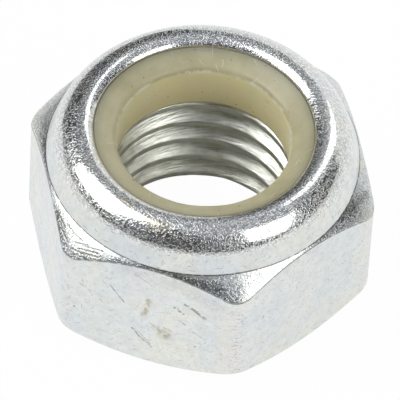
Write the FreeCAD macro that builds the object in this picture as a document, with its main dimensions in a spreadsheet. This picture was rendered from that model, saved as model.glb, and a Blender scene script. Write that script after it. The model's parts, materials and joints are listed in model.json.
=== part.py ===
"""Nylon insert lock nut for an M20 x 2.5 bolt, 30 mm across flats.

Two pieces: a forged steel nut body, and the nylon ring that its rolled rim holds.
Z runs up the thread's axis, and the origin is the centre of the bearing face.
The flats face +Y and -Y, and two corners lie on the X axis.
"""
import FreeCAD, Part
import math
import os

import Sketcher
from FreeCAD import Vector

# Driving dimensions, in millimetres and degrees
SIZES = [
    ("thread_minor_diameter", 17.294, "bore over the crests of the M20 x 2.5 thread"),
    ("thread_length", 12.4, "bearing face to the floor of the ring's seat"),
    ("countersink_width", 1.953, "countersink's mouth outside the thread's crests"),
    ("countersink_angle", 120.0, "full angle of the countersink"),
    ("ring_grip", 0.397, "ring's bore inside the thread's crests"),
    ("ring_side_height", 3.5, "straight side of the ring above the seat's floor"),
    ("ring_corner_bevel", 1.2, "corner of the ring where the rim bends over it"),
    ("ring_edge_bevel", 0.35, "broken upper edge of the ring's bore"),
    ("ring_recess", 0.6, "outer edge of the ring's top below the rim's crest"),
    ("ring_clearance", 0.02, "gap between the ring and the steel round it"),
    ("dish_width", 2.2, "ring's bore to the lip over it"),
    ("dish_angle", 22.3, "fall of the ring's top towards its bore"),
    ("lip_overhang", 2.3, "lip's reach inwards over the ring"),
    ("lip_thickness", 1.6, "lip's underside to the rim's crest"),
    ("lip_bevel", 0.4, "broken inner edge of the lip"),
    ("crest_inset", 0.95, "rim's crest outside the lip's inner edge"),
    ("collar_wall", 2.05, "steel round the seat at the collar's foot"),
    ("collar_draft", 0.65, "collar's foot outside the rim's rounding"),
    ("flat_step", 0.2, "flats outside the collar's foot"),
    ("shoulder_rise", 2.4, "hexagon's top above the seat's floor"),
    ("shoulder_angle", 41.0, "fall of the shoulder out to the corners"),
    ("corner_round", 2.5, "rounding of the hexagon's six upright corners"),
    ("bearing_inset", 1.5, "edge of the bearing face inside the flats"),
    ("bearing_angle", 34.0, "rise of the chamfer out from the bearing face"),
]

# Sizes that follow from those: radii from the thread outwards, then heights upwards
RESULTS = [
    ("thread_radius", "thread_minor_diameter / 2", "thread's crests"),
    ("bore_radius", "thread_radius - ring_grip", "ring's bore"),
    ("lip_radius", "bore_radius + dish_width", "inner edge of the lip"),
    ("crest_radius", "lip_radius + crest_inset", "highest circle of the rim"),
    ("seat_radius", "lip_radius + lip_overhang", "wall of the ring's seat"),
    ("foot_radius", "seat_radius + collar_wall", "collar's foot"),
    ("rim_round", "foot_radius - collar_draft - crest_radius", "rounding of the rim's section"),
    ("flat_radius", "foot_radius + flat_step", "axis to a flat"),
    ("across_flats", "2 * flat_radius", "size of the spanner"),
    ("point_radius", "flat_radius / cos(30 deg)", "axis to a corner before it is rounded"),
    ("bearing_radius", "flat_radius - bearing_inset", "outer edge of the bearing face"),
    ("bearing_rise", "(point_radius - bearing_radius) * tan(bearing_angle * 1 deg)", "chamfer's height"),
    ("shoulder_height", "thread_length + shoulder_rise", "top of the hexagon"),
    ("shoulder_fall", "(point_radius - foot_radius) * tan(shoulder_angle * 1 deg)", "chamfer's height"),
    ("bend_height", "thread_length + ring_side_height", "top of the seat's upright wall"),
    ("underside_height", "bend_height + ring_corner_bevel", "underside of the lip"),
    ("overall_height", "underside_height + lip_thickness", "rim's crest above the bearing face"),
    ("ring_radius", "seat_radius - ring_clearance", "side of the ring"),
    ("neck_radius", "lip_radius - ring_clearance", "ring inside the lip"),
    ("dish_radius", "bore_radius + ring_edge_bevel", "inner edge of the ring's sloping top"),
    ("ring_height", "overall_height - ring_recess", "outer edge of the ring's sloping top"),
    ("dish_fall", "(neck_radius - dish_radius) * tan(dish_angle * 1 deg)", "drop of the sloping top"),
]

# Ends of a sketch element, as constraints name them
START = 1
END = 2
CENTRE = 3
# The sketch's origin point, and its horizontal axis
ORIGIN = -1
X_AXIS = -1


def make_sheet(doc):
    """Fill the spreadsheet: a name, a value or formula, and a meaning in each row."""
    sheet = doc.addObject("Spreadsheet::Sheet", "sizes")
    rows = [(alias, str(number), meaning) for alias, number, meaning in SIZES]
    rows += [(alias, "=" + formula, meaning) for alias, formula, meaning in RESULTS]
    for row, (alias, content, meaning) in enumerate(rows, start=1):
        sheet.set(f"A{row}", alias)
        sheet.set(f"B{row}", content)
        sheet.set(f"C{row}", meaning)
        sheet.setAlias(f"B{row}", alias)
    doc.recompute()


def make_body(doc, name):
    """Start an empty piece whose label names its file."""
    body = doc.addObject("PartDesign::Body", name)
    body.Label = name
    return body


def origin_part(body, role):
    """Find one of the piece's own base planes or axes."""
    return next(part for part in body.Origin.OriginFeatures if part.Role == role)


def make_sketch(body, name, plane_role):
    """Open a sketch on one of the piece's own base planes."""
    sketch = body.newObject("Sketcher::SketchObject", name)
    sketch.AttachmentSupport = [(origin_part(body, plane_role), "")]
    sketch.MapMode = "FlatFace"
    return sketch


def value(sketch, expression):
    """Work out an expression with the sizes as they stand."""
    return float(sketch.evalExpression(expression))


def point(sketch, out, up):
    """Point of a section, from one expression for its radius and one for its height."""
    return Vector(value(sketch, out), value(sketch, up), 0)


def polyline(sketch, *corners):
    """Draw straight lines from corner to corner, each joined to the one before."""
    lines = []
    for start, end in zip(corners, corners[1:]):
        lines.append(sketch.addGeometry(Part.LineSegment(start, end)))
    join(sketch, *lines)
    return lines


def join(sketch, *lines):
    """Join the end of each line to the start of the next."""
    for first, second in zip(lines, lines[1:]):
        sketch.addConstraint(Sketcher.Constraint("Coincident", first, END, second, START))


def level(sketch, *lines):
    """Hold each of these lines horizontal."""
    for element in lines:
        sketch.addConstraint(Sketcher.Constraint("Horizontal", element))


def upright(sketch, *lines):
    """Hold each of these lines vertical."""
    for element in lines:
        sketch.addConstraint(Sketcher.Constraint("Vertical", element))


def dimension(sketch, name, kind, elements, expression):
    """Add a named dimension that stays bound to the spreadsheet."""
    index = sketch.addConstraint(Sketcher.Constraint(kind, *elements, value(sketch, expression)))
    sketch.renameConstraint(index, name)
    sketch.setExpression(f"Constraints.{name}", expression)


def set_radius(sketch, name, element, end, expression):
    """Set how far a point of the section stands from the thread's axis."""
    dimension(sketch, name, "DistanceX", (ORIGIN, START, element, end), expression)


def set_height(sketch, name, element, end, expression):
    """Set how high a point of the section stands above the bearing face."""
    dimension(sketch, name, "DistanceY", (ORIGIN, START, element, end), expression)


def revolve(body, kind, name, sketch):
    """Turn a section right round the Z axis, to add material or to cut it away."""
    feature = body.newObject(kind, name)
    feature.Profile = sketch
    feature.ReferenceAxis = (origin_part(body, "Z_Axis"), [""])
    feature.Angle = 360.0
    return feature


def draw_hexagon(body):
    """Hexagon sized over its flats, two of which face +Y and -Y."""
    sketch = make_sketch(body, "hexagon_outline", "XY_Plane")
    radius = value(sketch, "sizes.point_radius")
    corners = []
    for step in range(6):
        angle = math.radians(60 * step)
        corners.append(Vector(radius * math.cos(angle), radius * math.sin(angle), 0))
    sides = polyline(sketch, *corners, corners[0])
    join(sketch, sides[5], sides[0])
    guide = sketch.addGeometry(Part.Circle(Vector(0, 0, 0), Vector(0, 0, 1), radius), True)
    sketch.addConstraint(Sketcher.Constraint("Coincident", guide, CENTRE, ORIGIN, START))
    for side in sides:
        sketch.addConstraint(Sketcher.Constraint("PointOnObject", side, START, guide))
    for side in sides[1:]:
        sketch.addConstraint(Sketcher.Constraint("Equal", sides[0], side))
    sketch.addConstraint(Sketcher.Constraint("PointOnObject", sides[0], START, X_AXIS))
    dimension(sketch, "flat_radius", "Distance", (ORIGIN, START, sides[1]), "sizes.flat_radius")
    return sketch


def draw_bearing_chamfer(body):
    """Triangle below the corners that rises outwards from the bearing face."""
    sketch = make_sketch(body, "bearing_chamfer_section", "XZ_Plane")
    inner = point(sketch, "sizes.bearing_radius", "0")
    outer = point(sketch, "sizes.point_radius", "0")
    tip = point(sketch, "sizes.point_radius", "sizes.bearing_rise")
    face, back, slope = polyline(sketch, inner, outer, tip, inner)
    join(sketch, slope, face)
    level(sketch, face)
    upright(sketch, back)
    sketch.addConstraint(Sketcher.Constraint("PointOnObject", face, START, X_AXIS))
    set_radius(sketch, "bearing_radius", face, START, "sizes.bearing_radius")
    set_radius(sketch, "point_radius", face, END, "sizes.point_radius")
    set_height(sketch, "bearing_rise", back, END, "sizes.bearing_rise")
    return sketch


def draw_shoulder_chamfer(body):
    """Triangle above the corners that falls outwards from the collar's foot."""
    sketch = make_sketch(body, "shoulder_chamfer_section", "XZ_Plane")
    inner = point(sketch, "sizes.foot_radius", "sizes.shoulder_height")
    outer = point(sketch, "sizes.point_radius", "sizes.shoulder_height")
    tip = point(sketch, "sizes.point_radius", "sizes.shoulder_height - sizes.shoulder_fall")
    slope, back, face = polyline(sketch, inner, tip, outer, inner)
    join(sketch, face, slope)
    level(sketch, face)
    upright(sketch, back)
    set_radius(sketch, "foot_radius", slope, START, "sizes.foot_radius")
    set_height(sketch, "shoulder_height", slope, START, "sizes.shoulder_height")
    set_radius(sketch, "point_radius", back, END, "sizes.point_radius")
    dimension(sketch, "shoulder_fall", "DistanceY", (back, START, back, END), "sizes.shoulder_fall")
    return sketch


def draw_collar(body):
    """Section of the collar, with its rim rolled inwards over the ring.

    The wall leans in from its foot and runs smoothly into the rim's rounding, which
    goes over the crest and down a little to the lip's broken edge.
    """
    sketch = make_sketch(body, "collar_section", "XZ_Plane")
    foot = point(sketch, "sizes.foot_radius", "sizes.shoulder_height")
    centre = point(sketch, "sizes.crest_radius", "sizes.overall_height - sizes.rim_round")
    radius = value(sketch, "sizes.rim_round")
    bevel = value(sketch, "sizes.lip_bevel")
    lip = value(sketch, "sizes.lip_radius")

    # The rounding starts where the wall touches it and ends over the lip's broken edge
    to_foot = foot - centre
    wall_turn = math.atan2(to_foot.y, to_foot.x) + math.acos(radius / to_foot.Length)
    lip_turn = math.acos((lip + bevel - centre.x) / radius)
    wall_end = centre + Vector(math.cos(wall_turn), math.sin(wall_turn), 0) * radius
    rim_end = centre + Vector(math.cos(lip_turn), math.sin(lip_turn), 0) * radius
    circle = Part.Circle(centre, Vector(0, 0, 1), radius)
    rim = sketch.addGeometry(Part.ArcOfCircle(circle, wall_turn, lip_turn))

    edge, mouth, underside, bend, seat, base, wall = polyline(
        sketch,
        rim_end,
        Vector(lip, rim_end.y - bevel, 0),
        point(sketch, "sizes.lip_radius", "sizes.underside_height"),
        point(sketch, "sizes.seat_radius - sizes.ring_corner_bevel", "sizes.underside_height"),
        point(sketch, "sizes.seat_radius", "sizes.bend_height"),
        point(sketch, "sizes.seat_radius", "sizes.shoulder_height"),
        foot,
        wall_end,
    )
    join(sketch, rim, edge)
    sketch.addConstraint(Sketcher.Constraint("Tangent", wall, END, rim, START))
    level(sketch, underside, base)
    upright(sketch, mouth, seat)
    set_radius(sketch, "crest_radius", rim, CENTRE, "sizes.crest_radius")
    set_height(sketch, "rim_centre", rim, CENTRE, "sizes.overall_height - sizes.rim_round")
    dimension(sketch, "rim_round", "Radius", (rim,), "sizes.rim_round")
    dimension(sketch, "lip_bevel", "DistanceX", (edge, END, edge, START), "sizes.lip_bevel")
    dimension(sketch, "lip_bevel_fall", "DistanceY", (edge, END, edge, START), "sizes.lip_bevel")
    set_radius(sketch, "lip_radius", mouth, END, "sizes.lip_radius")
    set_height(sketch, "underside_height", mouth, END, "sizes.underside_height")
    dimension(sketch, "bend", "DistanceX", (bend, START, bend, END), "sizes.ring_corner_bevel")
    set_radius(sketch, "seat_radius", seat, START, "sizes.seat_radius")
    set_height(sketch, "bend_height", seat, START, "sizes.bend_height")
    set_radius(sketch, "foot_radius", wall, START, "sizes.foot_radius")
    set_height(sketch, "foot_height", wall, START, "sizes.shoulder_height")
    return sketch


def draw_circle(body, name, radius, height):
    """Circle about the thread's axis, at a height above the bearing face."""
    sketch = make_sketch(body, name, "XY_Plane")
    sketch.setExpression("AttachmentOffset.Base.z", height)
    circle = Part.Circle(Vector(0, 0, 0), Vector(0, 0, 1), value(sketch, radius))
    outline = sketch.addGeometry(circle)
    sketch.addConstraint(Sketcher.Constraint("Coincident", outline, CENTRE, ORIGIN, START))
    dimension(sketch, "radius", "Radius", (outline,), radius)
    return sketch


def draw_ring(body):
    """Section of the nylon ring, shaped by its seat and by the lip rolled over it."""
    sketch = make_sketch(body, "ring_section", "XZ_Plane")
    gap = "sizes.ring_clearance"
    dish_height = "sizes.ring_height - sizes.dish_fall"
    side_foot = point(sketch, "sizes.ring_radius", "sizes.thread_length")
    base, bore, edge, dish, neck, shoulder, corner, side = polyline(
        sketch,
        side_foot,
        point(sketch, "sizes.bore_radius", "sizes.thread_length"),
        point(sketch, "sizes.bore_radius", f"{dish_height} - sizes.ring_edge_bevel"),
        point(sketch, "sizes.dish_radius", dish_height),
        point(sketch, "sizes.neck_radius", "sizes.ring_height"),
        point(sketch, "sizes.neck_radius", f"sizes.underside_height - {gap}"),
        point(sketch, "sizes.ring_radius - sizes.ring_corner_bevel", f"sizes.underside_height - {gap}"),
        point(sketch, "sizes.ring_radius", f"sizes.bend_height - {gap}"),
        side_foot,
    )
    join(sketch, side, base)
    level(sketch, base, shoulder)
    upright(sketch, bore, neck, side)
    set_radius(sketch, "bore_radius", base, END, "sizes.bore_radius")
    set_height(sketch, "floor_height", base, END, "sizes.thread_length")
    dimension(sketch, "ring_edge_bevel", "DistanceY", (edge, START, edge, END), "sizes.ring_edge_bevel")
    set_radius(sketch, "dish_radius", dish, START, "sizes.dish_radius")
    set_height(sketch, "dish_height", dish, START, dish_height)
    set_radius(sketch, "neck_radius", neck, START, "sizes.neck_radius")
    set_height(sketch, "ring_height", neck, START, "sizes.ring_height")
    set_height(sketch, "shoulder_height", neck, END, f"sizes.underside_height - {gap}")
    dimension(sketch, "corner_bevel", "DistanceX", (corner, START, corner, END), "sizes.ring_corner_bevel")
    set_radius(sketch, "ring_radius", side, START, "sizes.ring_radius")
    set_height(sketch, "side_height", side, START, f"sizes.bend_height - {gap}")
    return sketch


def vertical_edges(shape):
    """Names of the straight edges that stand parallel to the Z axis."""
    names = []
    for number, edge in enumerate(shape.Edges, start=1):
        box = edge.BoundBox
        if max(box.XLength, box.YLength) < Part.Precision.confusion() < box.ZLength:
            names.append(f"Edge{number}")
    return names


def build_nut_body(doc):
    """Hexagon with rounded corners and two chamfers, its rolled collar, the seat and the hole."""
    body = make_body(doc, "nut_body")

    hexagon = body.newObject("PartDesign::Pad", "hexagon")
    hexagon.Profile = draw_hexagon(body)
    hexagon.setExpression("Length", "sizes.shoulder_height")
    doc.recompute()

    corners = body.newObject("PartDesign::Fillet", "corners")
    corners.Base = (hexagon, vertical_edges(hexagon.Shape))
    corners.setExpression("Radius", "sizes.corner_round")
    doc.recompute()

    revolve(body, "PartDesign::Groove", "bearing_chamfer", draw_bearing_chamfer(body))
    revolve(body, "PartDesign::Groove", "shoulder_chamfer", draw_shoulder_chamfer(body))
    revolve(body, "PartDesign::Revolution", "collar", draw_collar(body))

    seat = body.newObject("PartDesign::Pocket", "ring_seat")
    seat.Profile = draw_circle(body, "ring_seat_outline", "sizes.seat_radius", "sizes.shoulder_height")
    seat.setExpression("Length", "sizes.shoulder_rise")
    doc.recompute()

    # The hole runs upwards from its countersunk mouth in the bearing face
    hole = body.newObject("PartDesign::Hole", "thread_hole")
    hole.Profile = draw_circle(body, "thread_hole_outline", "sizes.thread_radius", "0 mm")
    hole.Reversed = True
    hole.DepthType = "ThroughAll"
    hole.HoleCutType = "Countersink"
    hole.HoleCutCustomValues = True
    hole.setExpression("Diameter", "sizes.thread_minor_diameter")
    hole.setExpression("HoleCutDiameter", "2 * (sizes.thread_radius + sizes.countersink_width)")
    hole.setExpression("HoleCutCountersinkAngle", "sizes.countersink_angle")
    return body


def build_nylon_insert(doc):
    """Nylon ring, turned from its section."""
    body = make_body(doc, "nylon_insert")
    revolve(body, "PartDesign::Revolution", "ring", draw_ring(body))
    return body


def check_pieces(doc, bodies):
    """Stop if an object failed, a piece is not one sound solid, or a feature changed nothing."""
    for item in doc.Objects:
        if "Invalid" in item.State or "Error" in item.State:
            raise RuntimeError(f"{item.Name} did not build: {item.State}")
    for body in bodies:
        shape = body.Shape
        if shape.isNull() or not shape.isValid() or len(shape.Solids) != 1:
            raise RuntimeError(f"{body.Label} is not one sound solid")
        volume = 0.0
        for feature in body.Group:
            if not feature.isDerivedFrom("PartDesign::Feature"):
                continue
            change = feature.Shape.Volume - volume
            adds = feature.TypeId in ("PartDesign::Pad", "PartDesign::Revolution")
            if change == 0 or adds != (change > 0):
                raise RuntimeError(f"{feature.Name} changed nothing, or the wrong way")
            volume = feature.Shape.Volume


def main():
    doc = FreeCAD.newDocument("insert_lock_nut")
    make_sheet(doc)
    bodies = [build_nut_body(doc), build_nylon_insert(doc)]
    doc.recompute()
    check_pieces(doc, bodies)

    os.makedirs("parts", exist_ok=True)
    for body in bodies:
        body.Shape.exportStep(f"parts/{body.Label}.step")
        box = body.Shape.optimalBoundingBox()
        print(
            f"{body.Label}: {body.Shape.Volume:.1f} mm3, {box.XLength:.3f} x {box.YLength:.3f} mm, "
            f"z {box.ZMin:.3f} to {box.ZMax:.3f} mm"
        )


main()
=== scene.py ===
# %% [markdown]
# # Nylon insert lock nut
#
# A zinc-plated hexagon nut, 30 mm across flats, with a cream nylon ring held under its rolled rim.
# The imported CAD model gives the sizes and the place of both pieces. This lesson makes the two
# visible pieces in the same frame: the forged steel body with its real M20 x 2.5 thread, and the
# moulded ring. Then it gives them their finishes, the studio and the camera.

import json
import math

import bmesh
import bpy
from mathutils import Matrix, Vector, noise

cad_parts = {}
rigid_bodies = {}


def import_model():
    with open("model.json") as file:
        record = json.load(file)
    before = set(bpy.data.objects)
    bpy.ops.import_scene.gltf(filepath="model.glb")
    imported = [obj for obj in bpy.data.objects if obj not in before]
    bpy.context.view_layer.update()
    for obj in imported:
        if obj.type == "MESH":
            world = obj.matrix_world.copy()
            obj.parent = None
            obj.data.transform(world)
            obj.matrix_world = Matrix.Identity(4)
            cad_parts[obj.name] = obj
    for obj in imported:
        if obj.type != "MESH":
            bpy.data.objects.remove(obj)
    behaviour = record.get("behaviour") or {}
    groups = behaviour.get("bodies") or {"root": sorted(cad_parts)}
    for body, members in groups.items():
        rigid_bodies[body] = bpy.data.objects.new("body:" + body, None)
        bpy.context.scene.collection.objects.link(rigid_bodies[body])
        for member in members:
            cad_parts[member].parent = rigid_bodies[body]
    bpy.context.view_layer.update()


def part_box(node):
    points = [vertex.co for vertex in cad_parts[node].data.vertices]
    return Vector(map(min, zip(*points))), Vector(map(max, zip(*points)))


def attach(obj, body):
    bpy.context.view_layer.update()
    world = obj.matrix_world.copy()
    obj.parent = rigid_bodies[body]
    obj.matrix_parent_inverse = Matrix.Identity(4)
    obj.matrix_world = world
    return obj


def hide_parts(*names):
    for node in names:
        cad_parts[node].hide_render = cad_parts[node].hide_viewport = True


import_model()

# %% [markdown]
# ## The camera
#
# The photograph looks down at about 50 degrees, from the side of one corner, through a long lens:
# the nut's far and near edges are almost the same width. A long lens far away gives that. The
# picture's upright leans a little, as it does when a camera is held by hand, so the camera is
# rolled by the same amount.

# %% Camera
def turned(radius, angle, height):
    """Point this far from the upright axis and this high, turned about the axis by the angle."""
    return Vector((radius * math.cos(angle), radius * math.sin(angle), height))


camera_side = math.radians(-74.5)
camera_rise = math.radians(50.44)
camera_roll = math.radians(3.61)
camera_distance = 0.665
aim_height = 0.008
aim_drop = 0.00009

back = turned(math.cos(camera_rise), camera_side, math.sin(camera_rise))
level = Vector((-math.sin(camera_side), math.cos(camera_side), 0))
upward = back.cross(level)
right = level * math.cos(camera_roll) + upward * math.sin(camera_roll)
upright = upward * math.cos(camera_roll) - level * math.sin(camera_roll)
aim = Vector((0, 0, aim_height)) - upright * aim_drop

lens = bpy.data.cameras.new("studio_camera")
lens.lens = 630
lens.sensor_width = 36
lens.clip_start = 0.01
lens.clip_end = 20
camera = bpy.data.objects.new("studio_camera", lens)
bpy.context.collection.objects.link(camera)
turn = Matrix((right, upright, back)).transposed().to_4x4()
camera.matrix_world = Matrix.Translation(aim + back * camera_distance) @ turn
bpy.context.scene.camera = camera
print("camera stands at", [round(n, 3) for n in camera.matrix_world.translation])

# %% [markdown]
# ## Sizes
#
# The body and the ring are read from the CAD boxes where they can be, so that both models agree.
# The rest are this nut's own sizes in millimetres, the same as in its CAD source but for a few that
# the highlights in the photograph ask for: the rim is rounded more tightly at its crest than at its
# side, the shoulders are crowned a little, and the ring's bore has a rounder edge. Millimetres are
# easier to think in, and every mesh is scaled to metres when made.

# %% Sizes of the nut
body_low, body_high = (corner * 1000 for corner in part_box("nut_body"))
ring_low, ring_high = (corner * 1000 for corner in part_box("nylon_insert"))
flat = body_high.y
top = body_high.z
seat_floor = ring_low.z

mouth = 10.6
mouth_slope = math.tan(math.radians(60))
corner_round = 2.5
bearing_edge = flat - 1.5
bearing_slope = math.tan(math.radians(34))
foot = flat - 0.2
shoulder = 14.8
shoulder_slope = math.tan(math.radians(41))
shoulder_crown = 0.03
edge_waver = 0.10
crest = 11.5
rim_round = 2.3
rim_side = 3.4
side_turn = math.radians(60)
nose_round = 1.4
lip = 10.45
lip_edge = 0.2
lip_underside = 17.1
seat_wall = 12.75
floor_inside = 10.4
bend = 1.2
ring_bore = 8.25
bore_edge = 16.9
ring_gap = 0.02
dish_slope = math.tan(math.radians(22.3))
print(f"across flats {2 * flat:.2f} mm, {top:.2f} mm high")
print(f"ring from {seat_floor:.2f} to {ring_high.z:.2f} mm")

# %% [markdown]
# ## How the body is made
#
# Every part of the body but the hexagon is round, and even the hexagon has one outline at each
# angle. So the body is made as a lathe would, with one difference: its section changes a little
# as it turns. At each angle the section starts at the mouth of the hole in the bearing face, goes
# out and up round the hexagon, over the rolled rim and down into the ring's seat. Sharp corners
# of the section are rounded there, because the highlights on real edges come from those
# roundings. The columns stand closer together at the hexagon's corners, where it curves most.

# %% Angles of the columns
fine_step = 0.5
coarse_step = 1.5
curved_part = 5.5
sector = []
angle = -30.0
while angle < 29.99:
    sector.append(angle)
    near_corner = abs(angle + fine_step / 2) < curved_part
    angle += fine_step if near_corner else coarse_step
angles = [math.radians(60 * step + angle) for step in range(6) for angle in sector]
angles = sorted(angle % (2 * math.pi) for angle in angles)
count = len(angles)
print(count, "columns round the axis")


def hexagon_radius(angle):
    """Distance from the axis to the rounded hexagon at an angle, with corners on the X axis."""
    off_corner = abs((math.degrees(angle) + 30) % 60 - 30)
    corner_centre = (flat - corner_round) / math.cos(math.radians(30))
    sideways = corner_centre * math.sin(math.radians(off_corner))
    along = corner_centre * math.cos(math.radians(off_corner))
    off_flat = math.radians(30 - off_corner)
    straight = flat / math.cos(off_flat)
    if math.tan(off_flat) * flat <= (flat - corner_round) * math.tan(math.radians(30)):
        return straight
    return along + math.sqrt(corner_round ** 2 - sideways ** 2)


print("corners reach", round(hexagon_radius(0), 3), "mm from the axis")


# %% Rounded sections
def rounded(corners, radii, runs, steps=4):
    """Path through the corners, each turned into an arc, with points spread along each straight run.

    There is a radius for each corner but the two ends, and a run for each straight between them.
    An arc never uses more than two fifths of the straight on either side of it.
    """
    stops = [[corners[0]]]
    for before, here, after, radius in zip(corners, corners[1:], corners[2:], radii):
        to_before = (before - here).normalized()
        to_after = (after - here).normalized()
        half = to_before.angle(to_after) / 2
        room = 0.4 * min((before - here).length, (after - here).length)
        reach = min(radius / math.tan(half), room)
        radius = reach * math.tan(half)
        centre = here + (to_before + to_after).normalized() * (radius / math.sin(half))
        first = here + to_before * reach - centre
        last = here + to_after * reach - centre
        sweep = math.atan2(first.cross(last), first.dot(last))
        arc = []
        for step in range(steps + 1):
            turn = sweep * step / steps
            arc.append(centre + Vector((
                first.x * math.cos(turn) - first.y * math.sin(turn),
                first.x * math.sin(turn) + first.y * math.cos(turn),
            )))
        stops.append(arc)
    stops.append([corners[-1]])
    path = list(stops[0])
    for stop, run in zip(stops[1:], runs):
        start = path[-1]
        path += [start.lerp(stop[0], share) for share in run]
        path += stop
    return path


# Shares of a straight run at which points are put
even_run = (0.06, 0.5, 0.94)
crown_run = (0.05, 0.2, 0.35, 0.5, 0.65, 0.8, 0.95)
long_run = (0.02, 0.08, 0.2, 0.35, 0.5, 0.65, 0.8, 0.92, 0.98)
print(len(long_run), "points on each long run")


# %% Section of the hexagon
def outer_section(angle):
    """Section from the mouth of the hole round the hexagon to the start of the rim's rounding."""
    radius = hexagon_radius(angle)
    low = (radius - bearing_edge) * bearing_slope
    high = shoulder - (radius - foot) * shoulder_slope

    # The forged edge of the shoulder wavers, and less so in the middle of a flat
    waver = edge_waver * noise.noise(turned(3, angle, 5.0))
    high += waver * min(1.0, (radius - flat) / 0.6)
    corners = [
        Vector((mouth, 0.0)),
        Vector((bearing_edge, 0.0)),
        Vector((radius, low)),
        Vector((radius, high)),
        Vector((foot, shoulder)),
        wall_top,
    ]
    radii = (0.5, 0.5, 0.16, 0.1)
    section = rounded(corners, radii, (even_run, even_run, long_run, crown_run, even_run))

    # The shoulder is crowned: it bulges between the hexagon's edge and the collar's foot
    slope = corners[4] - corners[3]
    outward = Vector((slope.y, -slope.x)).normalized()
    for point in section:
        share = (point - corners[3]).dot(slope) / slope.length_squared
        on_slope = abs((point - corners[3]).dot(outward)) < 0.02
        if on_slope and 0 < share < 1:
            point += outward * (4 * share * (1 - share) * shoulder_crown * slope.length)
    return section


# %% Section of the rim and the seat
def toward(turn, distance):
    """Step of that length in the plane of the section, at an angle from the level."""
    return Vector((math.cos(turn), math.sin(turn))) * distance


# The collar's wall leans in from its foot until it touches the rounding of the rim's side
rim_centre = Vector((crest, top - rim_round))
side_centre = rim_centre - toward(side_turn, rim_side - rim_round)
to_foot = Vector((foot, shoulder)) - side_centre
wall_turn = math.atan2(to_foot.y, to_foot.x) + math.acos(rim_side / to_foot.length)
wall_top = side_centre + toward(wall_turn, rim_side)


def inner_section():
    """Section over the rim, round the lip's nose, and down into the seat to its floor."""
    path = []

    def arc(centre, radius, start, end, steps):
        for step in range(1, steps + 1):
            turn = start + (end - start) * step / steps
            path.append(centre + toward(turn, radius))

    crest_turn = math.pi / 2
    lip_turn = crest_turn + math.asin((crest - lip - lip_edge) / (nose_round - lip_edge))
    nose_centre = Vector((crest, top - nose_round))
    edge_centre = nose_centre + toward(lip_turn, nose_round - lip_edge)
    arc(side_centre, rim_side, wall_turn, side_turn, 14)
    arc(rim_centre, rim_round, side_turn, crest_turn, 12)
    arc(nose_centre, nose_round, crest_turn, lip_turn, 10)
    arc(edge_centre, lip_edge, lip_turn, math.pi, 4)
    path += [
        Vector((lip, lip_underside + 0.1)),
        Vector((lip + 0.1, lip_underside)),
        Vector((seat_wall - bend, lip_underside)),
        Vector((seat_wall, lip_underside - bend)),
        Vector((seat_wall, seat_floor + 0.05)),
        Vector((seat_wall - 0.05, seat_floor)),
        Vector((floor_inside, seat_floor)),
    ]
    return path


print("rim's rounding starts at", [round(n, 2) for n in wall_top])

# %% [markdown]
# ## The thread
#
# A 60-degree thread of 2.5 mm pitch climbs the hole's wall to the right. A spiral modifier gives
# the turns but leaves both ends open, and cutting a tapped hole with a boolean gives long thin
# triangles. Here the thread's rows follow the spiral themselves. Each row starts in the
# countersink, climbs 2.5 mm a turn, and ends where it meets the floor of the seat. Where a row
# crosses one of these ends, its last point is moved onto the nearest column, by a few thousandths
# of a millimetre, so that the thread closes onto the rest of the body with no gap.

# %% Thread profile
pitch = 2.5
thread_crest = 8.647
thread_root = 10.0
thread_round = 0.16
thread_start = 0.61


def thread_profile():
    """Heights and radii of one turn, from the middle of a crest up to the next."""
    crest_half = pitch / 8
    root_half = pitch / 16
    corners = [
        Vector((0, thread_crest)),
        Vector((crest_half, thread_crest)),
        Vector((pitch / 2 - root_half, thread_root)),
        Vector((pitch / 2 + root_half, thread_root)),
        Vector((pitch - crest_half, thread_crest)),
        Vector((pitch, thread_crest)),
    ]
    return rounded(corners, (thread_round,) * 4, ((), (0.5,), (), (0.5,), ()), steps=2)[:-1]


turn_rows = thread_profile()
rows_per_turn = len(turn_rows)


def thread_radius(height, angle):
    """Radius of the hole at a height and angle: the thread, or the countersink where that is wider."""
    within = (height - thread_start - pitch * angle / (2 * math.pi)) % pitch
    radius = thread_crest
    for lower, upper in zip(turn_rows, turn_rows[1:] + [Vector((pitch, thread_crest))]):
        if lower.x <= within <= upper.x and upper.x > lower.x:
            share = (within - lower.x) / (upper.x - lower.x)
            radius = lower.y + (upper.y - lower.y) * share
            break
    return max(radius, mouth - height * mouth_slope)


def row_height(row, column):
    """Height of a spiral row at a column. Columns past the last go on into the next turn."""
    turns, place = divmod(column, count)
    spiral = pitch * (turns + angles[place] / (2 * math.pi))
    return thread_start + spiral + pitch * (row // rows_per_turn) + turn_rows[row % rows_per_turn].x


def crossing(row, column, limit):
    """-1, 0 or 1: the row is below the limit at this column, meets it here, or is above it."""
    height = row_height(row, column)
    if height <= limit:
        step = row_height(row, column + 1) - height
        return 0 if limit - height < step / 2 else -1
    step = height - row_height(row, column - 1)
    return 0 if height - limit <= step / 2 else 1


print(rows_per_turn, "rows in each turn of the thread")


# %% New piece
def new_piece(name, vertices, faces, slots=()):
    """Object made from points in millimetres, shaded smooth, with a material index for each face."""
    mesh = bpy.data.meshes.new(name)
    mesh.from_pydata([Vector(point) * 0.001 for point in vertices], [], faces)
    mesh.validate()
    for polygon in mesh.polygons:
        polygon.use_smooth = True
    for polygon, index in zip(mesh.polygons, slots):
        polygon.material_index = index
    piece = bpy.data.objects.new(name, mesh)
    bpy.context.collection.objects.link(piece)
    return piece


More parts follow.
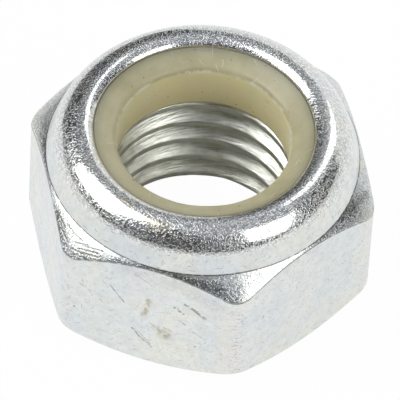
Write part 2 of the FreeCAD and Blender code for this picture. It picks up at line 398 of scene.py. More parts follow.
# %% Body round its outside, over the rim and down to the seat
def turned_wall(vertices, faces):
    """Add all but the thread, and give each column's vertices from the mouth round to the seat."""
    inner = inner_section()
    columns = []
    for angle in angles:
        column = []
        end = Vector((thread_radius(seat_floor, angle), seat_floor))
        for point in outer_section(angle) + inner + [end]:
            column.append(len(vertices))
            vertices.append(turned(point.x, angle, point.y))
        columns.append(column)
    for here in range(count):
        near = columns[here]
        far = columns[(here + 1) % count]
        for row in range(len(near) - 1):
            faces.append((near[row], far[row], far[row + 1], near[row + 1]))
    return columns


# %% Thread between the mouth and the seat
def ladder(column, columns, vertices, known):
    """First row at this column, and the vertices of its rows from the mouth up to the seat."""
    turns, place = divmod(column, count)
    angle = angles[place]
    every_row = range(-2 * rows_per_turn, 6 * rows_per_turn)
    first = max(row for row in every_row if crossing(row, column, 0.0) <= 0)
    last = min(row for row in every_row if crossing(row, column, seat_floor) >= 0)
    rungs = [columns[place][0]]
    for row in range(first + 1, last):
        key = (row + turns * rows_per_turn, place)
        if key not in known:
            height = row_height(row, column)
            known[key] = len(vertices)
            vertices.append(turned(thread_radius(height, angle), angle, height))
        rungs.append(known[key])
    rungs.append(columns[place][-1])
    return first, rungs


def rung(first, rungs, row):
    """Vertex of a row. A row that lies past an end is stood for by the end itself."""
    return rungs[min(max(row - first, 0), len(rungs) - 1)]


def thread_wall(columns, vertices, faces):
    """Add the thread's faces, from each column to the next."""
    known = {}
    for here in range(count):
        near = ladder(here, columns, vertices, known)
        far = ladder(here + 1, columns, vertices, known)
        last = max(first + len(rungs) - 1 for first, rungs in (near, far))
        for row in range(min(near[0], far[0]), last):
            corners = (rung(*near, row), rung(*near, row + 1), rung(*far, row + 1), rung(*far, row))
            face = tuple(dict.fromkeys(corners))
            if len(face) >= 3:
                faces.append(face)


# %% Body mesh
vertices = []
faces = []
columns = turned_wall(vertices, faces)
turned_faces = len(faces)
thread_wall(columns, vertices, faces)
slots = [0] * turned_faces + [1] * (len(faces) - turned_faces)
body = new_piece("forged_body", vertices, faces, slots)
print("forged body:", len(vertices), "vertices,", len(faces), "faces")


# %% Check that the body is closed
def turn_outward(piece):
    """Turn the faces outward, and print the open edges and the volume."""
    check = bmesh.new()
    check.from_mesh(piece.data)
    bmesh.ops.recalc_face_normals(check, faces=check.faces)
    open_edges = [edge for edge in check.edges if len(edge.link_faces) != 2]
    volume = check.calc_volume() * 1e9
    print(piece.name, "has", len(open_edges), "open edges and holds", round(volume, 1), "mm3")
    check.to_mesh(piece.data)
    check.free()


turn_outward(body)

# %% [markdown]
# ## The nylon ring
#
# The ring is a plain moulding: a bore a little smaller than the thread, a top that dishes down to
# it, and a body that fills the seat. It is round all over, so its section is turned once about the
# axis. The upper edge of the bore wavers very slightly, as a trimmed moulding does.


# %% Ring
def build_ring():
    """Vertices and faces of the ring, from its closed section."""
    side = ring_high.x
    neck = lip - ring_gap
    underside = lip_underside - ring_gap
    corners = [
        Vector((side - 2, seat_floor)),
        Vector((ring_bore, seat_floor)),
        Vector((ring_bore, ring_high.z - (neck - ring_bore) * dish_slope)),
        Vector((neck, ring_high.z)),
        Vector((neck, underside)),
        Vector((side - bend, underside)),
        Vector((side, underside - bend)),
        Vector((side, seat_floor)),
        Vector((side - 1.9, seat_floor)),
    ]
    radii = (0.15, 0.8, 0.08, 0.05, 0.2, 0.2, 0.1)
    runs = (even_run, long_run, long_run, (0.5,), (0.5,), (0.5,), (0.5,), (0.5,))
    section = rounded(corners, radii, runs, steps=5)
    vertices = []
    faces = []
    turns = 240
    for step in range(turns):
        angle = 2 * math.pi * step / turns
        for point in section:
            near_edge = math.exp(-((point.x - ring_bore) ** 2 + (point.y - bore_edge) ** 2) / 0.3)
            slow = noise.noise(turned(2.5, angle, point.y))
            quick = noise.noise(turned(12, angle, 2 * point.y))
            radius = point.x + (0.08 * slow + 0.03 * quick) * near_edge
            vertices.append(turned(radius, angle, point.y))
    rows = len(section)
    for step in range(turns):
        here = step * rows
        after = (step + 1) % turns * rows
        for row in range(rows):
            below = (row + 1) % rows
            faces.append((here + row, after + row, after + below, here + below))
    return vertices, faces


vertices, faces = build_ring()
ring = new_piece("moulded_ring", vertices, faces)
turn_outward(ring)

# %% [markdown]
# ## In place of the CAD solids
#
# Both pieces ride on the body that carries the CAD solids, and each hides the solid that it stands
# for. At the roundings narrow faces meet wide ones, so the shading is weighted by the faces' areas.
# A wide flat face then looks flat right up to its edge.

# %% Ride and replace
for piece, node, slot in ((body, "nut_body", "zinc_plated_steel"), (ring, "nylon_insert", "nylon")):
    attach(piece, "root")
    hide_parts(node)
    weighted = piece.modifiers.new("even_shading", "WEIGHTED_NORMAL")
    weighted.keep_sharp = True
    print(piece.name, "stands for", node)

# %% [markdown]
# ## Tools for the finishes
#
# Each finish is a tree of nodes that ends in a Principled shader. The trees read the piece's own
# coordinates, so a mark stays where it is on the metal from every side. They are written in
# millimetres, through a few short helpers, so that a size in a tree is a size on the nut.


# %% Start of a finish
def node_tree(name):
    """New material with an empty node tree that ends in a Principled shader."""
    material = bpy.data.materials.new(name)
    material.use_nodes = True
    tree = material.node_tree
    tree.nodes.clear()
    shader = tree.nodes.new("ShaderNodeBsdfPrincipled")
    output = tree.nodes.new("ShaderNodeOutputMaterial")
    tree.links.new(shader.outputs["BSDF"], output.inputs["Surface"])
    return material, tree, shader


# %% Steps with numbers, points and colours
def feed(tree, socket, value):
    """Give a socket its value: a number, a few numbers, or what another socket gives out."""
    if isinstance(value, bpy.types.NodeSocket):
        tree.links.new(value, socket)
    else:
        socket.default_value = value


def maths(tree, operation, first, second=0.0):
    """One arithmetic step on two values, each a socket or a number."""
    step = tree.nodes.new("ShaderNodeMath")
    step.operation = operation
    feed(tree, step.inputs[0], first)
    feed(tree, step.inputs[1], second)
    return step.outputs["Value"]


def vectors(tree, operation, first, second):
    """One step on two vectors, each a socket or three numbers."""
    step = tree.nodes.new("ShaderNodeVectorMath")
    step.operation = operation
    feed(tree, step.inputs[0], first)
    feed(tree, step.inputs[1], second)
    return step.outputs["Value" if operation in ("DOT_PRODUCT", "DISTANCE") else "Vector"]


def scaled(tree, vector, factor):
    """A vector times a value, which is a socket or a number."""
    step = tree.nodes.new("ShaderNodeVectorMath")
    step.operation = "SCALE"
    feed(tree, step.inputs[0], vector)
    feed(tree, step.inputs["Scale"], factor)
    return step.outputs["Vector"]


def span(tree, value, low, high, to_low=0.0, to_high=1.0):
    """Map a value smoothly from one range to another."""
    ramp = tree.nodes.new("ShaderNodeMapRange")
    ramp.interpolation_type = "SMOOTHSTEP"
    ramp.inputs["From Min"].default_value = low
    ramp.inputs["From Max"].default_value = high
    ramp.inputs["To Min"].default_value = to_low
    ramp.inputs["To Max"].default_value = to_high
    tree.links.new(value, ramp.inputs["Value"])
    return ramp.outputs["Result"]


def blended(tree, share, first, second):
    """Mix two colours, each a socket or a colour, by a share."""
    mix = tree.nodes.new("ShaderNodeMix")
    mix.data_type = "RGBA"
    tree.links.new(share, mix.inputs["Factor"])
    for name, value in (("A", first), ("B", second)):
        socket = next(item for item in mix.inputs if item.name == name and item.type == "RGBA")
        feed(tree, socket, (*value, 1) if isinstance(value, tuple) else value)
    return next(item for item in mix.outputs if item.type == "RGBA")


# %% Places and their parts
def millimetres(tree):
    """The piece's own coordinates, in millimetres."""
    return scaled(tree, tree.nodes.new("ShaderNodeTexCoord").outputs["Object"], 1000)


def parts_of(tree, vector):
    """The X, Y and Z of a vector."""
    split = tree.nodes.new("ShaderNodeSeparateXYZ")
    tree.links.new(vector, split.inputs["Vector"])
    return split.outputs["X"], split.outputs["Y"], split.outputs["Z"]


# %% Several values at once
def product(tree, first, *others):
    """All the values multiplied, each a socket or a number."""
    for value in others:
        first = maths(tree, "MULTIPLY", first, value)
    return first


def largest(tree, first, *others):
    """The largest of the values."""
    for value in others:
        first = maths(tree, "MAXIMUM", first, value)
    return first


def point_of(tree, x, y):
    """Vector with this X and Y."""
    join = tree.nodes.new("ShaderNodeCombineXYZ")
    tree.links.new(x, join.inputs["X"])
    tree.links.new(y, join.inputs["Y"])
    return join.outputs["Vector"]


def off_axis(tree, x, y):
    """Distance from the nut's axis."""
    squares = maths(tree, "ADD", product(tree, x, x), product(tree, y, y))
    return maths(tree, "SQRT", squares)


# %% Clouds and bumps
def cloud(tree, place, size, detail=4.0, roughness=0.6, output="Fac"):
    """Noise whose lumps are about this many millimetres wide."""
    texture = tree.nodes.new("ShaderNodeTexNoise")
    texture.inputs["Scale"].default_value = 1 / size
    texture.inputs["Detail"].default_value = detail
    texture.inputs["Roughness"].default_value = roughness
    tree.links.new(place, texture.inputs["Vector"])
    return texture.outputs[output]


def bumped(tree, height, distance, normal=None):
    """Bump from a height of 0 to 1 that stands for this many millimetres."""
    bump = tree.nodes.new("ShaderNodeBump")
    bump.inputs["Distance"].default_value = distance / 1000
    tree.links.new(height, bump.inputs["Height"])
    if normal is not None:
        tree.links.new(normal, bump.inputs["Normal"])
    return bump.outputs["Normal"]


def wavering(tree, place, size, reach):
    """The same place, moved about by up to this many millimetres, to make straight marks uneven."""
    shove = vectors(tree, "SUBTRACT", cloud(tree, place, size, 3.0, output="Color"), (0.5, 0.5, 0.5))
    return vectors(tree, "ADD", place, scaled(tree, shove, 2 * reach))


# %% Marks along lines
def line_distance_group():
    """Node group: how far a place is from the straight line between two points."""
    group = bpy.data.node_groups.new("distance_to_line", "ShaderNodeTree")
    for name in ("Place", "Start", "End"):
        group.interface.new_socket(name, in_out="INPUT", socket_type="NodeSocketVector")
    group.interface.new_socket("Distance", in_out="OUTPUT", socket_type="NodeSocketFloat")
    given = group.nodes.new("NodeGroupInput").outputs
    result = group.nodes.new("NodeGroupOutput").inputs
    reach = vectors(group, "SUBTRACT", given["Place"], given["Start"])
    line = vectors(group, "SUBTRACT", given["End"], given["Start"])
    length = vectors(group, "DOT_PRODUCT", line, line)
    along = maths(group, "DIVIDE", vectors(group, "DOT_PRODUCT", reach, line), length)
    along = maths(group, "MINIMUM", maths(group, "MAXIMUM", along, 0.0), 1.0)
    group.links.new(vectors(group, "DISTANCE", reach, scaled(group, line, along)), result["Distance"])
    return group


distance_to_line = line_distance_group()


def marks(tree, place, lines, softness=0.5):
    """Share that is 1 on the lines, each a start, an end and a width in millimetres."""
    nearest = None
    for start, end, width in lines:
        line = tree.nodes.new("ShaderNodeGroup")
        line.node_tree = distance_to_line
        tree.links.new(place, line.inputs["Place"])
        line.inputs["Start"].default_value = start
        line.inputs["End"].default_value = end
        widths = maths(tree, "DIVIDE", line.outputs["Distance"], width / 2)
        nearest = widths if nearest is None else maths(tree, "MINIMUM", nearest, widths)
    return span(tree, nearest, 1 - softness, 1 + softness, 1.0, 0.0)

# %% [markdown]
# ## Marks of use
#
# A nut from a box of nuts is scratched by its neighbours, and its zinc is stained where a drop
# dried on it. On the sides in front these marks are placed one by one, as the real nut has them.
# Each is a line with a start, an end and a width in millimetres, and noise makes it uneven and
# breaks it. All round, short nicks are scattered by a Voronoi texture: each cell holds one, turned
# its own way.


# %% Marks on the flat in front
def on_flat(*lines):
    """Marks on the flat in front, each from the X and height of its two ends and its width."""
    return [((x, -flat, z), (end_x, -flat, end_z), width) for x, z, end_x, end_z, width in lines]


scratches = on_flat(
    (-4.03, 10.77, -2.58, 8.85, 0.13),
    (-1.67, 5.40, -0.94, 4.43, 0.16),
    (-0.94, 4.43, 0.49, 3.23, 0.12),
    (3.41, 10.98, 4.50, 10.40, 0.34),
    (4.50, 10.30, 5.38, 9.73, 0.30),
    (2.40, 10.10, 3.22, 9.55, 0.30),
    (-7.50, 6.15, -7.25, 6.10, 0.18),
    (4.55, 5.22, 4.60, 5.22, 0.16),
    (5.30, 9.80, 5.38, 9.60, 0.26),
)
hairlines = on_flat(
    (-6.99, 9.80, -5.86, 9.09, 0.09),
    (-1.91, 13.61, 0.10, 12.39, 0.08),
    (-4.00, 7.15, -2.80, 6.35, 0.10),
    (-1.35, 5.35, 0.20, 3.75, 0.10),
    (-4.98, 8.30, -4.40, 7.60, 0.12),
    (0.10, 11.05, 0.45, 11.60, 0.10),
    (4.20, 7.30, 5.60, 6.60, 0.10),
    (2.90, 8.40, 3.50, 8.00, 0.14),
)
stains = on_flat(
    (1.30, 6.00, 1.75, 5.80, 1.25),
    (-0.10, 10.10, -0.60, 7.70, 0.55),
    (0.35, 6.60, 0.42, 6.50, 0.45),
)
print(len(scratches) + len(hairlines), "scratches and", len(stains), "stains on the flat in front")

# %% Marks on the corners and the rim
warm_corner = on_flat(
    (7.0, 10.4, 7.6, 7.0, 1.7),
    (7.8, 6.2, 8.0, 2.4, 2.0),
)
# A band of painted shade just under the shoulder's edge, on the flat in front
shade_under_shoulder = on_flat(
    (-2.5, 13.6, 2.5, 13.4, 1.2),
    (2.5, 13.4, 6.6, 12.1, 1.4),
)
worn_corners = [
    ((-8.1, -14.6, 12.4), (-8.1, -14.6, 2.2), 0.9),
    ((8.5, -14.6, 11.6), (8.5, -14.6, 2.2), 1.3),
    ((16.7, 0.2, 12.4), (16.7, 0.2, 2.4), 1.0),
]
rim_stains = [
    ((-1.1, -12.6, 18.3), (0.4, -12.7, 18.3), 1.1),
    ((-4.6, -10.9, 18.6), (-3.4, -11.6, 18.5), 0.5),
]
print(len(worn_corners), "worn corners and", len(rim_stains), "stains on the rim")


# %% Marks on the shoulders
def on_shoulder(*lines):
    """Marks on the crowned shoulder, each from the X and Y of its two ends and its width."""
    def lifted(x, y):
        return (x, y, shoulder - (math.hypot(x, y) - foot) * shoulder_slope + 0.05)

    return [(lifted(x, y), lifted(end_x, end_y), width) for x, y, end_x, end_y, width in lines]


grimy_shoulders = [
    ((-10.40, -11.12, 14.41), (-9.12, -13.07, 13.79), 1.4),
    ((-9.12, -13.07, 13.79), (-8.30, -14.26, 13.29), 1.4),
    ((-8.30, -14.26, 13.29), (-6.40, -14.95, 13.40), 0.9),
    ((2.40, -14.90, 14.60), (6.20, -14.50, 13.95), 1.1),
    ((14.84, -2.40, 14.60), (15.80, 1.20, 14.00), 0.9),
]
shoulder_scores = on_shoulder(
    (-7.55, -14.19, -5.49, -14.50, 0.18),
    (-7.24, -13.96, -5.06, -14.33, 0.16),
    (-7.91, -13.73, -6.66, -13.95, 0.18),
    (-7.25, -14.49, -5.70, -14.74, 0.18),
    (-8.60, -12.90, -7.30, -13.60, 0.16),
    (-9.30, -12.20, -8.10, -13.20, 0.16),
    (-8.10, -14.20, -6.90, -14.60, 0.18),
    (-9.70, -12.60, -8.70, -13.70, 0.18),
    (-10.30, -11.50, -9.40, -12.50, 0.16),
)
print(len(grimy_shoulders) + len(shoulder_scores), "marks on the shoulders")


# %% Nicks all round
def unrolled(tree, place):
    """Place on the sides as on a flat sheet: distance round the nut, and height."""
    x, y, z = parts_of(tree, place)
    return point_of(tree, product(tree, maths(tree, "ARCTAN2", y, x), flat), z)


def nicks(tree, sheet, cell, width):
    """Short nicks on a flat sheet, one in each cell of this size, each turned its own way."""
    cells = tree.nodes.new("ShaderNodeTexVoronoi")
    cells.voronoi_dimensions = "2D"
    cells.inputs["Scale"].default_value = 1 / cell
    tree.links.new(sheet, cells.inputs["Vector"])
    offset = vectors(tree, "SUBTRACT", sheet, cells.outputs["Position"])
    chance, kind, _ = parts_of(tree, cells.outputs["Color"])
    turn = product(tree, chance, 2 * math.pi)
    across = point_of(tree, maths(tree, "COSINE", turn), maths(tree, "SINE", turn))
    off_line = maths(tree, "ABSOLUTE", vectors(tree, "DOT_PRODUCT", offset, across))
    in_reach = span(tree, cells.outputs["Distance"], 0.1, 0.35, 1.0, 0.0)
    chosen = span(tree, kind, 0.45, 0.8)
    nick = span(tree, off_line, width * 0.3, width, 1.0, 0.0)
    return product(tree, nick, in_reach, chosen)

# %% [markdown]
# ## Bright zinc
#
# Zinc plating is a metal skin, so nearly all of its look is what it reflects. It isn't a mirror:
# its colour drifts between blue, grey and straw, and it is stained in places. The rolled rim and
# the forged shoulders are as grainy as orange peel, because they were stretched and never ground.
# The grain is a bump of pits about a fifth of a millimetre wide. It scatters sparks into the dark
# reflections and makes the edges of the bright ones ragged. The rim also has a dull speckle in its
# colour, which shows in the dim reflections but not in those of the lamps. The flats were pressed
# smooth and have neither.


# %% Where the zinc differs
def zinc_places(tree, place):
    """Shares from 0 to 1: the rim, the shoulders at the corners, and the painted shade at edges."""
    x, y, z = parts_of(tree, place)
    radius = off_axis(tree, x, y)
    rim = span(tree, z, 16.4, 17.0)
    coordinates = tree.nodes.new("ShaderNodeTexCoord")
    normal_up = parts_of(tree, coordinates.outputs["Normal"])[2]
    facing_up = span(tree, normal_up, 0.35, 0.6)
    shoulders = product(tree, facing_up, span(tree, z, 14.6, 14.85, 1.0, 0.0))

    # Painted shade darkens the crevice at the collar's foot, the shoulder's edge and the underside
    off_foot = vectors(tree, "DISTANCE", point_of(tree, radius, z), (foot, shoulder, 0.0))
    crevice_shade = span(tree, off_foot, 0.02, 0.12, 0.9, 0.0)
    cone_tip = shoulder + foot * shoulder_slope
    cone = maths(tree, "SUBTRACT", cone_tip, product(tree, radius, shoulder_slope))
    below_cone = maths(tree, "SUBTRACT", z, cone)
    beside = maths(tree, "SUBTRACT", 1.0, facing_up)
    edge = product(tree, span(tree, below_cone, -0.22, -0.06), beside)
    edge = product(tree, edge, span(tree, below_cone, 0.0, 0.05, 0.8, 0.0))
    # Painted shade under the nut: faces that look down are darkened
    shade_underneath = span(tree, normal_up, -0.25, -0.6, 0.0, 0.7)
    broken = span(tree, cloud(tree, place, 0.5, 3.0), 0.32, 0.52, 0.25, 1.0)
    shade_and_grime = product(tree, largest(tree, crevice_shade, edge, shade_underneath), broken)
    return rim, shoulders, shade_and_grime


# %% Zinc tints
def zinc_tints(tree, place, rim):
    """Blue, grey and straw zinc, lighter on the rim, with soft patches in front and on the rim, one of
    them painted shade.
    """
    drift = cloud(tree, place, 5.0, 2.0)
    colour = blended(tree, span(tree, drift, 0.36, 0.5), (0.745, 0.785, 0.80), (0.78, 0.81, 0.795))
    colour = blended(tree, span(tree, drift, 0.5, 0.66), colour, (0.82, 0.825, 0.77))
    mottle = cloud(tree, place, 0.8, 6.0, 0.72)
    colour = blended(tree, span(tree, mottle, 0.35, 0.62, 0.24, 0.0), colour, (0.46, 0.48, 0.47))
    colour = blended(tree, product(tree, rim, 0.4), colour, (0.97, 0.97, 0.96))

    uneven = wavering(tree, place, 1.2, 0.5)
    patchy = span(tree, cloud(tree, place, 0.7, 4.0), 0.3, 0.6)
    # Soft patches: real tints, wear and stains, and the band of painted shade under the shoulder
    for lines, share, tint in (
        (warm_corner, 0.65, (0.84, 0.785, 0.70)),
        (shade_under_shoulder, 0.6, (0.60, 0.595, 0.61)),
        (worn_corners, 0.5, (0.83, 0.80, 0.79)),
        (rim_stains, 0.75, (0.70, 0.62, 0.46)),
    ):
        soft = product(tree, marks(tree, uneven, lines, 0.8), share, patchy)
        colour = blended(tree, soft, colour, tint)
    return colour


# %% Zinc specks and stains
def zinc_stains(tree, place, colour):
    """The tinted zinc with dark specks, and brown stains on the flat in front."""
    specks = cloud(tree, place, 0.22, 2.0)
    colour = blended(tree, span(tree, specks, 0.64, 0.71, 0.0, 0.5), colour, (0.32, 0.31, 0.29))
    stained = marks(tree, wavering(tree, place, 0.7, 0.5), stains, 0.8)
    patchy = span(tree, cloud(tree, place, 0.4, 3.0), 0.35, 0.6)
    return blended(tree, product(tree, stained, patchy, 0.8), colour, (0.42, 0.36, 0.24))


# %% Zinc scratches
def zinc_scratches(tree, place, shoulders):
    """Share that is 1 in the scratches, the nicks and the short dashes across the corners."""
    ragged = wavering(tree, place, 0.25, 0.10)
    breaks = span(tree, cloud(tree, place, 0.28, 2.0), 0.40, 0.50)
    deep = product(tree, marks(tree, ragged, scratches), breaks)
    scores = product(tree, marks(tree, ragged, shoulder_scores), shoulders)
    fine = product(tree, marks(tree, ragged, hairlines), breaks, 0.7)
    sheet = unrolled(tree, ragged)
    scattered = largest(tree, nicks(tree, sheet, 1.3, 0.05), nicks(tree, sheet, 0.75, 0.04))
    off_shoulders = maths(tree, "SUBTRACT", 0.5, product(tree, shoulders, 0.5))
    scattered = product(tree, scattered, off_shoulders)

    # Short level dashes cross the worn corners
    level_place = vectors(tree, "MULTIPLY", place, (0.35, 0.35, 1.6))
    dashes = span(tree, cloud(tree, level_place, 0.17, 1.0), 0.60, 0.66, 0.0, 0.55)
    dashes = product(tree, dashes, marks(tree, place, worn_corners, 0.9))
    return largest(tree, deep, scores, fine, scattered, dashes)


# %% Grains of grime
def shoulder_grains(tree, place, shoulders):
    """Share that is high in the grains of grime on the shoulders, thickest where they are marked."""
    grime = marks(tree, wavering(tree, place, 0.5, 0.35), grimy_shoulders, 0.9)
    grains = maths(tree, "ADD", cloud(tree, place, 0.13, 2.0), product(tree, grime, 0.18))
    return product(tree, span(tree, grains, 0.60, 0.68), shoulders, 0.7)


# %% Zinc material
def zinc_plating():
    """Bright zinc plating, with everything that the cells above say of it."""
    material, tree, shader = node_tree("bright_zinc")
    place = millimetres(tree)
    rim, shoulders, shade_and_grime = zinc_places(tree, place)
    grainy = largest(tree, rim, shoulders)
    scratched = zinc_scratches(tree, place, shoulders)
    # The painted shade at the edges and the real grains of grime on the shoulders darken the colour
    # together
    shade_and_grime = largest(tree, shade_and_grime, shoulder_grains(tree, place, shoulders))
    colour = zinc_stains(tree, place, zinc_tints(tree, place, rim))
    colour = blended(tree, product(tree, scratched, 0.75), colour, (0.22, 0.22, 0.20))
    colour = blended(tree, shade_and_grime, colour, (0.13, 0.13, 0.12))

    # Pits with steep sides in a smooth skin, so that bright reflections stay sharp between them
    pits = product(tree, span(tree, cloud(tree, place, 0.21, 2.0, 0.6), 0.47, 0.62), grainy)
    normal = bumped(tree, maths(tree, "SUBTRACT", 1.0, pits), 0.012)
    smoky = span(tree, cloud(tree, place, 0.9, 4.0, 0.7), 0.50, 0.68, 0.0, 0.2)
    dulled = product(tree, largest(tree, product(tree, pits, 0.2), smoky), grainy)
    speckled = span(tree, cloud(tree, place, 0.26, 3.0, 0.7), 0.46, 0.60, 0.0, 0.34)
    dulled = largest(tree, dulled, product(tree, speckled, rim))
    colour = blended(tree, dulled, colour, (0.26, 0.26, 0.25))
    tree.links.new(colour, shader.inputs["Base Color"])

    normal = bumped(tree, cloud(tree, place, 1.6, 2.0), 0.03, normal)
    normal = bumped(tree, maths(tree, "SUBTRACT", 1.0, scratched), 0.02, normal)
    tree.links.new(normal, shader.inputs["Normal"])
    satin = span(tree, cloud(tree, place, 2.2, 5.0), 0.3, 0.7, 0.24, 0.34)
    polish = maths(tree, "ADD", product(tree, rim, 0.19), product(tree, shoulders, 0.05))
    tree.links.new(maths(tree, "SUBTRACT", satin, polish), shader.inputs["Roughness"])
    shader.inputs["Metallic"].default_value = 1.0
    return material


body.data.materials.append(zinc_plating())
print(len(body.data.materials[0].node_tree.nodes), "nodes in the zinc")

# %% [markdown]
# ## The tapped thread
#
# The tap cut through the forging, so the thread has its own skin: thin zinc over cut steel, a
# little green and darker, with fine lines that run along the cut.


# %% Thread material
def tapped_steel():
    """Thin zinc over cut steel, with lines along the cut."""
    material, tree, shader = node_tree("tapped_thread")
    place = millimetres(tree)
    clouds = cloud(tree, place, 1.5, 5.0)
    colour = blended(tree, span(tree, clouds, 0.35, 0.65), (0.68, 0.70, 0.63), (0.86, 0.87, 0.80))
    along_cut = vectors(tree, "MULTIPLY", place, (0.35, 0.35, 9.0))
    lines = cloud(tree, along_cut, 1.0, 2.0, 0.7)
    colour = blended(tree, span(tree, lines, 0.34, 0.48, 0.4, 0.0), colour, (0.22, 0.235, 0.20))
    colour = blended(tree, span(tree, lines, 0.52, 0.64, 0.0, 0.8), colour, (0.94, 0.95, 0.90))
    normal = bumped(tree, lines, 0.07)
    normal = bumped(tree, cloud(tree, place, 0.3, 2.0), 0.02, normal)
    tree.links.new(normal, shader.inputs["Normal"])
    tree.links.new(colour, shader.inputs["Base Color"])
    tree.links.new(span(tree, clouds, 0.3, 0.7, 0.30, 0.44), shader.inputs["Roughness"])
    shader.inputs["Metallic"].default_value = 1.0
    return material


body.data.materials.append(tapped_steel())
print("the body has", len(body.data.materials), "materials")

# %% [markdown]
# ## Natural nylon
#
# Natural polyamide is cream and slightly see-through: light goes in, scatters and comes out a
# little way off, which softens every shadow on it. Subsurface scattering does just that. Its colour
# holds painted light too: the bore's wall is painted lighter, painted shade makes it browner low in
# the bore and darkens it under the steel lip, and a painted highlight runs along the bore's edge. A
# few dark specks are shut in it.

# %% Fluff on the nylon
fluff = [
    ((6.34, 5.27, 17.15), (7.10, 4.30, 17.15), 0.10),
    ((7.19, 4.04, 15.90), (7.35, 3.75, 16.90), 0.08),
    ((7.02, 4.33, 15.60), (7.20, 4.04, 16.60), 0.07),
    ((-1.2, 9.3, 17.7), (-0.9, 8.2, 17.2), 0.08),
    ((-3.1, 8.9, 17.6), (-2.2, 8.9, 17.5), 0.06),
]
print(len(fluff), "threads of fluff on the nylon")


# %% Nylon material
def natural_nylon():
    """Cream polyamide with painted light on the bore's wall, painted shade low in it and under the
    lip, a painted highlight on the bore's edge, fluff and specks.
    """
    material, tree, shader = node_tree("natural_nylon")
    place = millimetres(tree)
    x, y, height = parts_of(tree, place)
    radius = off_axis(tree, x, y)
    clouds = cloud(tree, place, 2.5, 5.0)
    colour = blended(tree, span(tree, clouds, 0.3, 0.7), (0.455, 0.42, 0.262), (0.53, 0.495, 0.325))
    # Painted light: the wall of the bore is lighter than the top
    bore = span(tree, height, 17.1, 16.6)
    colour = blended(tree, bore, colour, (0.92, 0.83, 0.54))
    # Painted shade: lower in the bore the nylon turns browner and darker
    shade_low_in_bore = span(tree, height, 15.6, 12.7, 0.0, 0.6)
    colour = blended(tree, shade_low_in_bore, colour, (0.80, 0.65, 0.31))
    seat_line = span(tree, height, 12.75, 12.45, 0.0, 0.7)
    colour = blended(tree, seat_line, colour, (0.28, 0.18, 0.05))

    # The bore's edge has a painted highlight, partly its whitish trimmed flash, and painted shade
    # darkens the corner under the steel lip
    edge = (ring_bore + 0.05, bore_edge, 0.0)
    off_edge = vectors(tree, "DISTANCE", point_of(tree, radius, height), edge)
    broken = span(tree, cloud(tree, place, 1.6, 5.0, 0.7), 0.42, 0.60)
    edge_highlight_and_flash = product(tree, span(tree, off_edge, 0.05, 0.30, 0.65, 0.0), broken)
    colour = blended(tree, edge_highlight_and_flash, colour, (0.93, 0.91, 0.82))
    # Painted shade under the steel lip
    colour = blended(tree, span(tree, radius, 9.5, 10.35, 0.0, 0.35), colour, (0.33, 0.29, 0.16))
    colour = blended(tree, span(tree, radius, 10.25, 10.42, 0.0, 0.6), colour, (0.30, 0.24, 0.13))

    ragged = wavering(tree, place, 0.4, 0.2)
    rubbed = largest(tree, marks(tree, ragged, fluff), nicks(tree, ragged, 1.7, 0.05))
    colour = blended(tree, product(tree, rubbed, 0.5), colour, (0.80, 0.78, 0.68))
    specks = cloud(tree, place, 0.35, 1.0)
    colour = blended(tree, span(tree, specks, 0.73, 0.77, 0.0, 0.7), colour, (0.18, 0.15, 0.10))
    tree.links.new(colour, shader.inputs["Base Color"])

    normal = bumped(tree, cloud(tree, place, 0.5, 3.0), 0.012)
    normal = bumped(tree, cloud(tree, place, 3.0, 2.0), 0.05, normal)
    tree.links.new(bumped(tree, rubbed, 0.02, normal), shader.inputs["Normal"])
    tree.links.new(span(tree, clouds, 0.3, 0.7, 0.30, 0.42), shader.inputs["Roughness"])
    shader.inputs["Subsurface Weight"].default_value = 0.9
    shader.inputs["Subsurface Radius"].default_value = (1.0, 0.85, 0.5)
    shader.inputs["Subsurface Scale"].default_value = 0.0035
    shader.inputs["IOR"].default_value = 1.53
    return material


ring.data.materials.append(natural_nylon())
print("the ring is", ring.data.materials[0].name)

# %% [markdown]
# ## The studio
#
# Bright metal shows the room, so the room is part of its look. The nut stands on a white paper
# sweep that rises at its edge, under three soft boxes: a large one at the left, a smaller one at
# the front right, and a narrow one behind. Grey screens stand between them. The lamps and screens
# are placed where the bands of light and shade on the rim say that they stood, and the camera
# doesn't see them.


# %% Paper sweep
def paper_sweep():
    """White disc whose edge curves up, low in front and high behind at the right."""
    path = [Vector((0.3, 0.0)), Vector((0.8, 0.0)), Vector((1.4, 0.0))]
    for step in range(1, 9):
        turn = math.radians(90 * step / 8)
        path.append(Vector((1.4 + 0.3 * math.sin(turn), 0.5 - 0.5 * math.cos(turn))))
    path.append(Vector((1.7, 1.0)))
    low_wall = 160
    rear_wall = 1100
    under_nut = 0.02
    vertices = []
    faces = []
    turns = 96
    for step in range(turns):
        angle = 2 * math.pi * step / turns
        behind = math.cos(angle - camera_side - math.radians(150))
        height = low_wall + rear_wall * max(0.0, behind) ** 4
        for point in path:
            vertices.append(turned(1000 * point.x, angle, height * point.y - under_nut))
    rows = len(path)
    faces.append(tuple(step * rows for step in range(turns)))
    for step in range(turns):
        here = step * rows
        after = (step + 1) % turns * rows
        for row in range(rows - 1):
            faces.append((here + row, here + row + 1, after + row + 1, after + row))
    return new_piece("paper_sweep", vertices, faces)


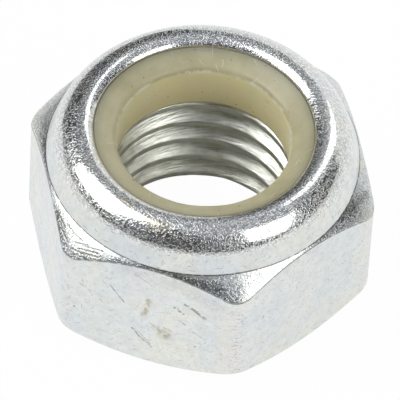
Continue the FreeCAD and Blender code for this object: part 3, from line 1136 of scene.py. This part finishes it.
# %% White paper
def white_paper():
    """Paper that is plain white to the eye and in the metal, and keeps a little of the shadow.

    Inside the hole the metal sees the paper as it is lit, because no backdrop shows there.
    """
    material = bpy.data.materials.new("white_paper")
    material.use_nodes = True
    tree = material.node_tree
    tree.nodes.clear()
    diffuse = tree.nodes.new("ShaderNodeBsdfDiffuse")
    diffuse.inputs["Color"].default_value = (0.90, 0.90, 0.90, 1)
    glow = tree.nodes.new("ShaderNodeEmission")
    glow.inputs["Strength"].default_value = 1.0
    rays = tree.nodes.new("ShaderNodeLightPath")
    x, y, _ = parts_of(tree, millimetres(tree))
    past_hole = span(tree, off_axis(tree, x, y), 11.0, 15.0, 0.0, 0.85)
    in_metal = largest(tree, rays.outputs["Is Glossy Ray"], rays.outputs["Is Transmission Ray"])
    in_metal = product(tree, in_metal, past_hole)
    to_camera = product(tree, rays.outputs["Is Camera Ray"], 0.98)
    mix = tree.nodes.new("ShaderNodeMixShader")
    output = tree.nodes.new("ShaderNodeOutputMaterial")
    tree.links.new(largest(tree, in_metal, to_camera), mix.inputs["Fac"])
    tree.links.new(diffuse.outputs["BSDF"], mix.inputs[1])
    tree.links.new(glow.outputs["Emission"], mix.inputs[2])
    tree.links.new(mix.outputs["Shader"], output.inputs["Surface"])
    return material


sweep = paper_sweep()
sweep.data.materials.append(white_paper())
print("the paper reaches", round(max(sweep.dimensions) / 2, 2), "m from the nut")


# %% Places in the room
def facing(side, rise, distance, roll=0.0):
    """Place that far from the nut, turned to face it.

    Its side is counted from the camera's, and its rise from the ground, both in degrees.
    """
    rise = math.radians(rise)
    spot = turned(math.cos(rise), camera_side + math.radians(side), math.sin(rise))
    turn = spot.to_track_quat("Z", "Y").to_matrix().to_4x4()
    return Matrix.Translation(spot * distance) @ turn @ Matrix.Rotation(math.radians(roll), 4, "Z")


# %% Soft boxes
def soft_box(name, side, rise, width, height, brightness, roll):
    """Rectangular lamp whose face has this brightness, where 1 is white."""
    lamp = bpy.data.lights.new(name, "AREA")
    lamp.shape = "RECTANGLE"
    lamp.size = width
    lamp.size_y = height
    lamp.energy = brightness * math.pi * width * height
    box = bpy.data.objects.new(name, lamp)
    bpy.context.collection.objects.link(box)
    box.matrix_world = facing(side, rise, 1.0, roll)
    box.visible_camera = False


soft_box("left_soft_box", -90, 50, 0.66, 0.86, 3.8, roll=12)
soft_box("right_soft_box", 56, 39, 0.52, 0.68, 2.8, roll=-20)
soft_box("rear_soft_box", 148, 47, 0.24, 0.54, 2.6, roll=-16)
print(len(bpy.data.lights), "soft boxes")


# %% Grey screens
def screen(name, side, rise, width, height, grey, distance=1.15):
    """Grey card that the metal reflects, with its width and height in metres."""
    half_width = 500 * width
    half_height = 500 * height
    corners = [(-half_width, -half_height, 0), (half_width, -half_height, 0),
               (half_width, half_height, 0), (-half_width, half_height, 0)]
    card = new_piece(name, corners, [(0, 1, 2, 3)])
    card.matrix_world = facing(side, rise, distance)
    material = bpy.data.materials.new(name)
    material.use_nodes = True
    shader = material.node_tree.nodes["Principled BSDF"]
    shader.inputs["Base Color"].default_value = (grey, grey, grey, 1)
    shader.inputs["Roughness"].default_value = 1.0
    shader.inputs["Specular IOR Level"].default_value = 0.0
    card.data.materials.append(material)
    card.visible_camera = False
    card.visible_shadow = False


screen("camera_screen", -14, 33, 0.77, 0.75, 0.15)
screen("narrow_screen", -18, 60, 0.25, 0.35, 0.16)
screen("rear_screen", -150, 22, 0.42, 0.35, 0.10, distance=0.45)
screen("side_screen", 99, 31, 0.75, 0.70, 0.10)

# %% [markdown]
# ## The room
#
# Between the lamps the metal reflects a grey room, and its brightness sets how dark the rim's dark
# bands are. A plain grey world would make them flat. This one is lighter overhead than near the
# ground, as a studio with a pale ceiling is.

# %% Room
room = bpy.data.worlds.new("grey_room")
room.use_nodes = True
tree = room.node_tree
upwards = parts_of(tree, tree.nodes.new("ShaderNodeTexCoord").outputs["Generated"])[2]
walls = blended(tree, span(tree, upwards, 0.15, 0.75), (0.12, 0.12, 0.125), (0.205, 0.215, 0.235))
shade = blended(tree, span(tree, upwards, 0.70, 0.98), walls, (0.36, 0.37, 0.395))
tree.links.new(shade, tree.nodes["Background"].inputs["Color"])
bpy.context.scene.world = room
print("the scene's world is", bpy.context.scene.world.name)

# %% [markdown]
# ## Finish
#
# The picture is shown with plain colours, as they are written.

# %% Finish
bpy.context.scene.view_settings.view_transform = "Standard"
bpy.context.view_layer.update()
